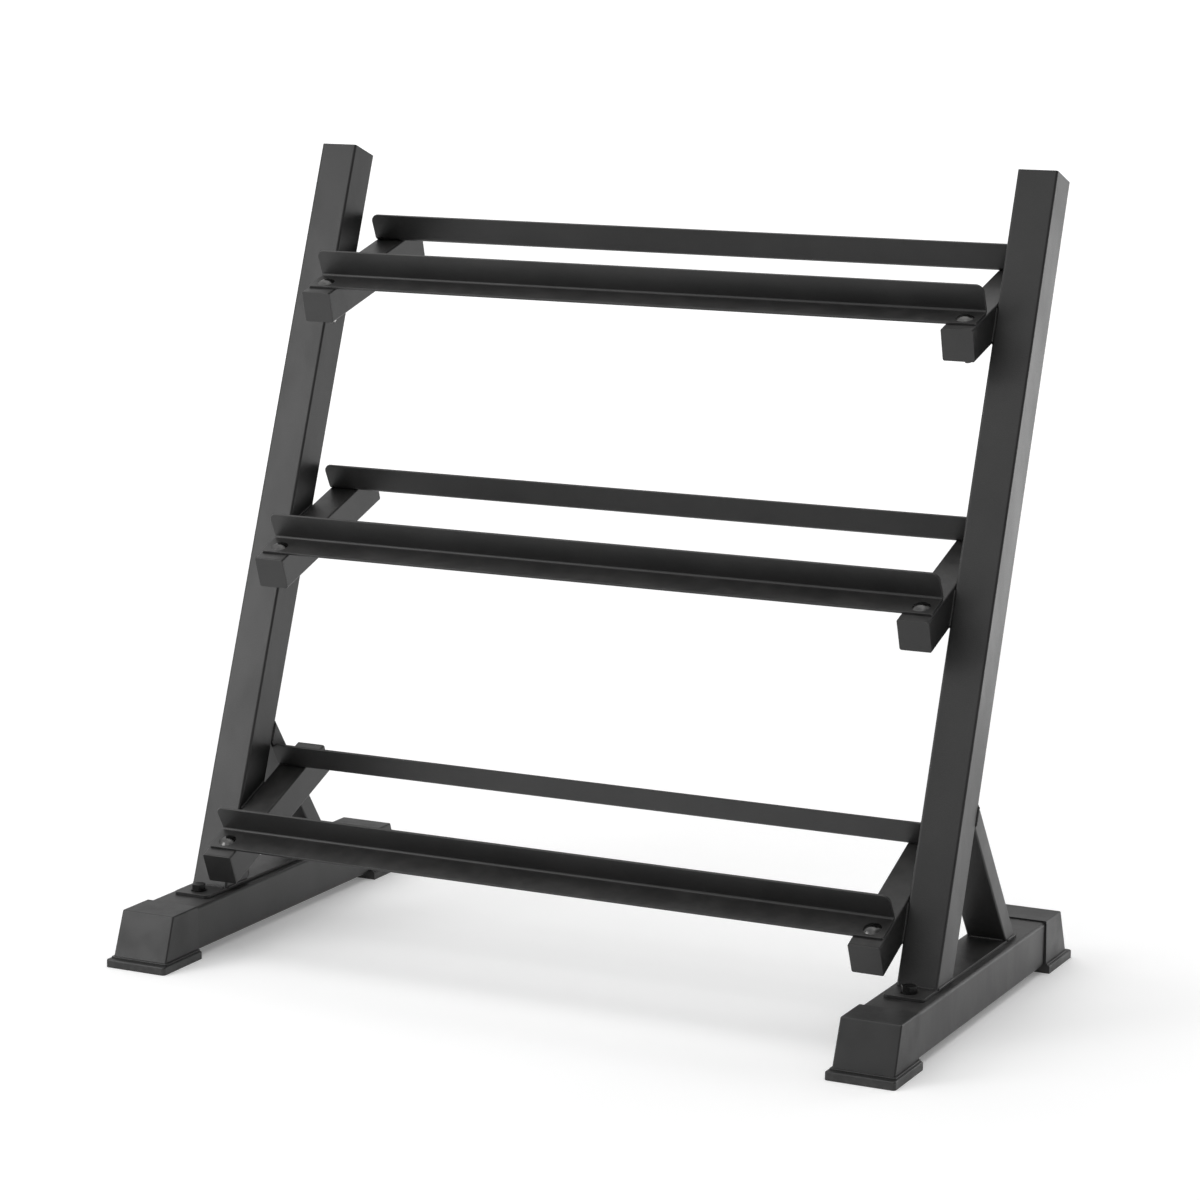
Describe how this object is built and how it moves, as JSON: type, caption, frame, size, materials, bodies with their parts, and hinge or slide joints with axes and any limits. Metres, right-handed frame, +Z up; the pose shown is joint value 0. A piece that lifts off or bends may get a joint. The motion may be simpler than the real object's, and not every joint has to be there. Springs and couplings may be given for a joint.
{
  "type": "dumbbell rack",
  "caption": "Free-standing storage rack with leaning square-tube uprights and sloping tiers of bolted angle rails for dumbbells or kettlebells.",
  "frame": {"origin": "on the floor, midway between the two sides and midway between the front of the feet and the rear ends of the top arms", "axes": "+X to the right-hand side seen from the front, +Y to the back, the way the uprights lean, +Z up"},
  "size_m": [1.038, 0.6152, 0.982],
  "materials": {
    "frame_coat": "satin black powder coat with fine orange peel",
    "foot_plastic": "fine-grained matt black moulding",
    "plug_plastic": "matt black moulding",
    "rail_bolt_steel": "polished black nickel",
    "base_bolt_steel": "black oxide, slightly oily",
    "nut_steel": "zinc plated"
  },
  "bodies": {
    "root": {"left_floor_beam": "frame_coat", "left_front_foot_cap": "foot_plastic", "left_rear_foot_cap": "foot_plastic", "left_base_plate": "frame_coat", "left_upright": "frame_coat", "left_upright_plug": "plug_plastic", "left_brace": "frame_coat", "left_bottom_arm": "frame_coat", "left_bottom_arm_front_plate": "frame_coat", "left_bottom_arm_rear_plate": "frame_coat", "left_middle_arm": "frame_coat", "left_middle_arm_front_plate": "frame_coat", "left_middle_arm_rear_plate": "frame_coat", "left_top_arm": "frame_coat", "left_top_arm_front_plate": "frame_coat", "left_top_arm_rear_plate": "frame_coat", "right_floor_beam": "frame_coat", "right_front_foot_cap": "foot_plastic", "right_rear_foot_cap": "foot_plastic", "right_base_plate": "frame_coat", "right_upright": "frame_coat", "right_upright_plug": "plug_plastic", "right_brace": "frame_coat", "right_bottom_arm": "frame_coat", "right_bottom_arm_front_plate": "frame_coat", "right_bottom_arm_rear_plate": "frame_coat", "right_middle_arm": "frame_coat", "right_middle_arm_front_plate": "frame_coat", "right_middle_arm_rear_plate": "frame_coat", "right_top_arm": "frame_coat", "right_top_arm_front_plate": "frame_coat", "right_top_arm_rear_plate": "frame_coat", "bottom_front_rail": "frame_coat", "bottom_rear_rail": "frame_coat", "bottom_rail_bolts": "rail_bolt_steel", "bottom_rail_washers": "nut_steel", "bottom_rail_nuts": "nut_steel", "middle_front_rail": "frame_coat", "middle_rear_rail": "frame_coat", "middle_rail_bolts": "rail_bolt_steel", "middle_rail_washers": "nut_steel", "middle_rail_nuts": "nut_steel", "top_front_rail": "frame_coat", "top_rear_rail": "frame_coat", "top_rail_bolts": "rail_bolt_steel", "top_rail_washers": "nut_steel", "top_rail_nuts": "nut_steel", "base_bolts": "base_bolt_steel", "base_washers": "base_bolt_steel", "base_nuts": "nut_steel"}
  },
  "joints": []
}
